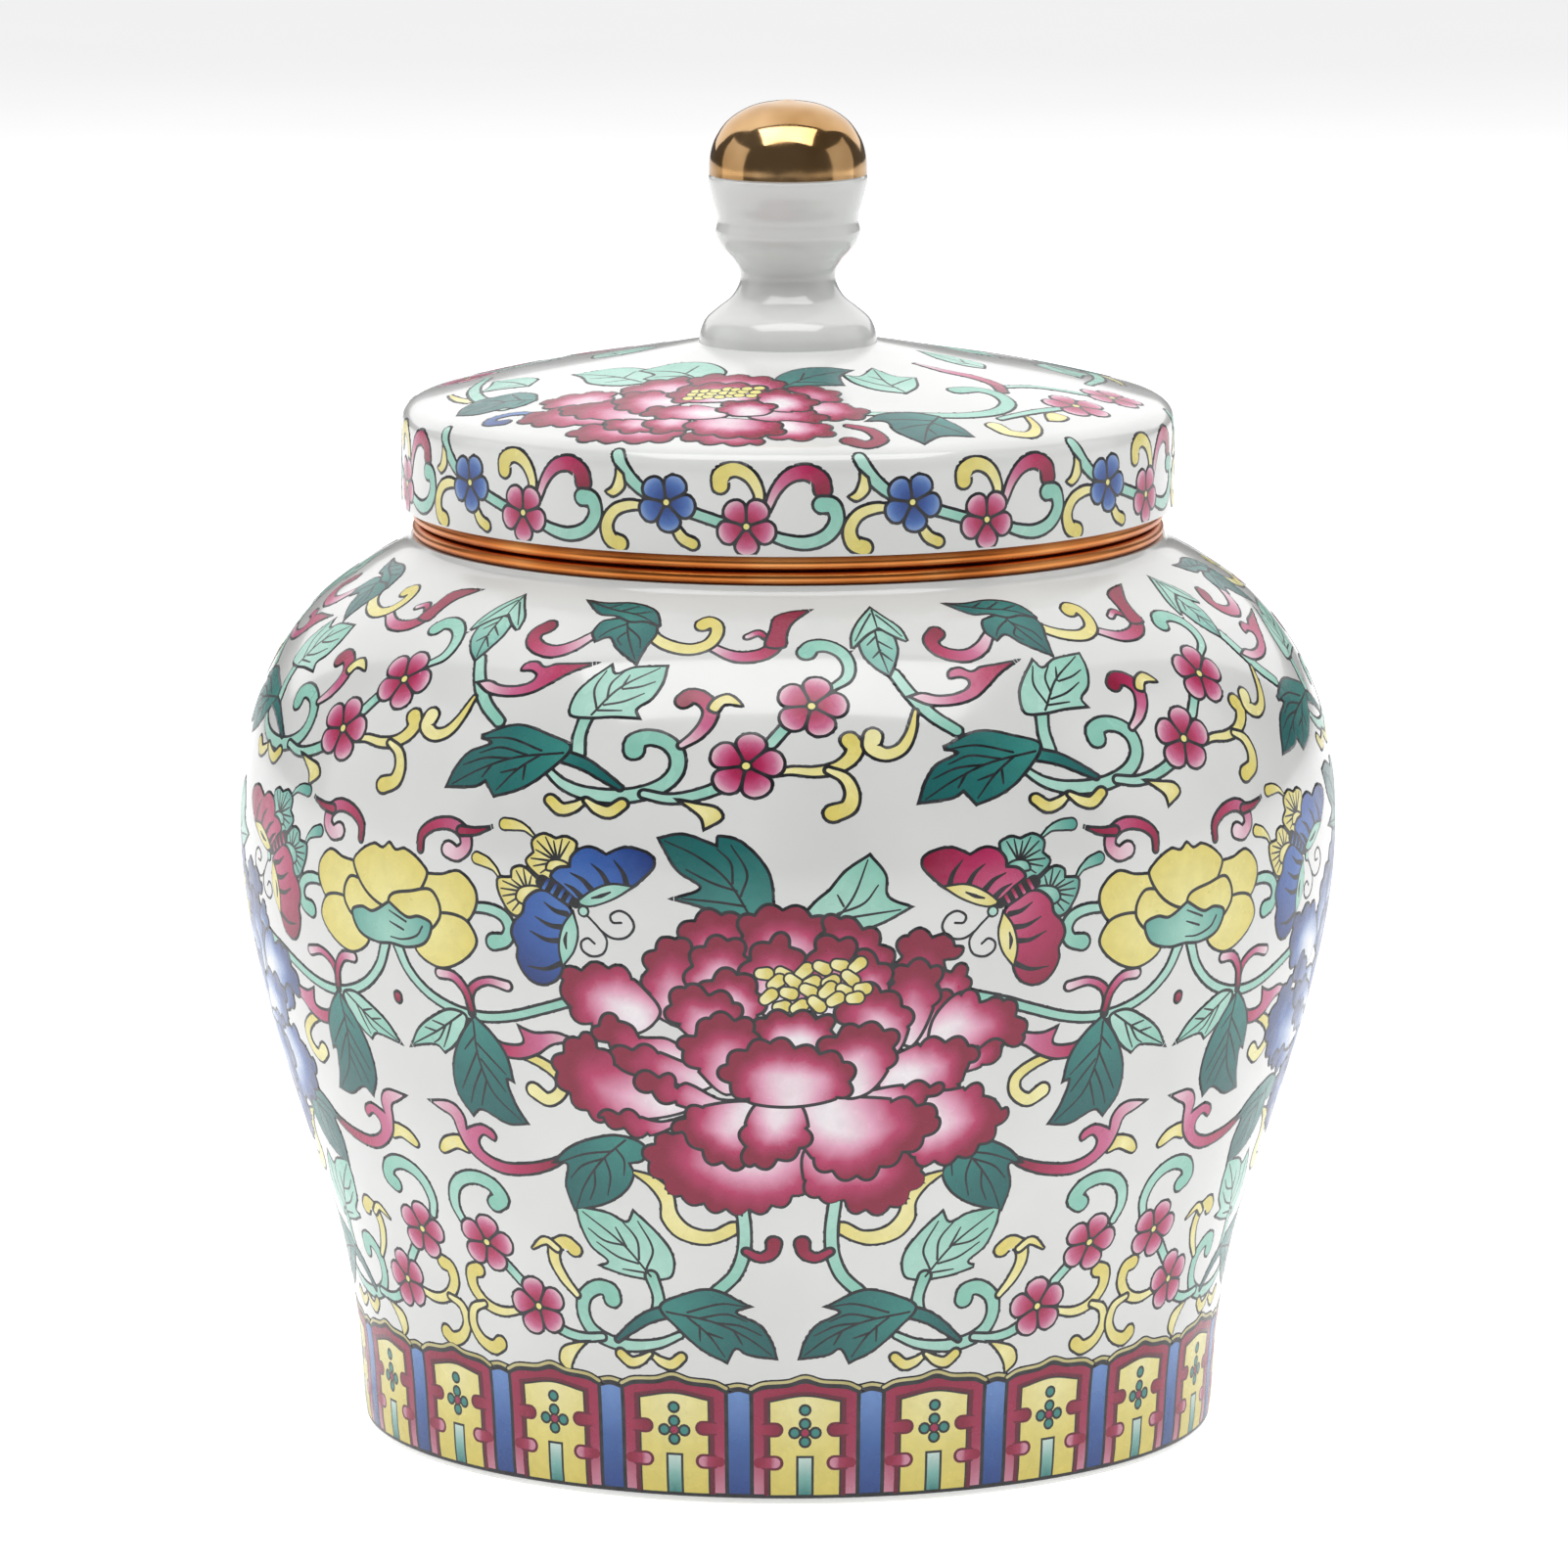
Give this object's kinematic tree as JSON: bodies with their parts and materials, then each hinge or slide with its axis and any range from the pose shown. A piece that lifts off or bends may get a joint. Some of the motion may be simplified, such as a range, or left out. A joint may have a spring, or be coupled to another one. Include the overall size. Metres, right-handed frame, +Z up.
{
  "type": "ginger jar",
  "caption": "Lidded porcelain ginger jar, painted with peonies and scrolling leaves, whose ringed lid screws on to hold dry goods",
  "frame": {"origin": "the middle of the foot, on the surface that the jar stands on", "axes": "+X to the right seen from the front, +Y to the back, +Z up along the jar's axis"},
  "size_m": [0.1794, 0.1794, 0.2183],
  "materials": {
    "painted_porcelain": "gloss",
    "plain_porcelain": "gloss",
    "ring_metal": "satin",
    "ring_cement": "matte",
    "gasket_rubber": "satin",
    "bright_gold": "mirror"
  },
  "bodies": {
    "jar": {"jar_floor": "painted_porcelain", "jar_foot": "painted_porcelain", "jar_belly": "painted_porcelain", "jar_upper_belly": "painted_porcelain", "jar_shoulder": "painted_porcelain", "jar_neck": "painted_porcelain", "neck_cement": "ring_cement", "neck_ring": "ring_metal"},
    "gasket": {"lid_gasket": "gasket_rubber"},
    "lid": {"lid_ring": "ring_metal", "lid_cement": "ring_cement", "lid_shell": "painted_porcelain", "lid_knob": "plain_porcelain", "knob_gilding": "bright_gold"}
  },
  "joints": [
    {"name": "lid_rise", "type": "slide", "parent": "jar", "child": "gasket", "axis": [0, 0, 1], "range_m": [0, 0.012]},
    {"name": "lid_turn", "type": "hinge", "parent": "gasket", "child": "lid", "pos_m": [0, 0, 0.1595], "axis": [0, 0, 1], "range_deg": [0, 720]}
  ],
  "couplings": [
    {"joint": "lid_rise", "follows": "lid_turn", "m_per_rad": 0.00095493}
  ]
}
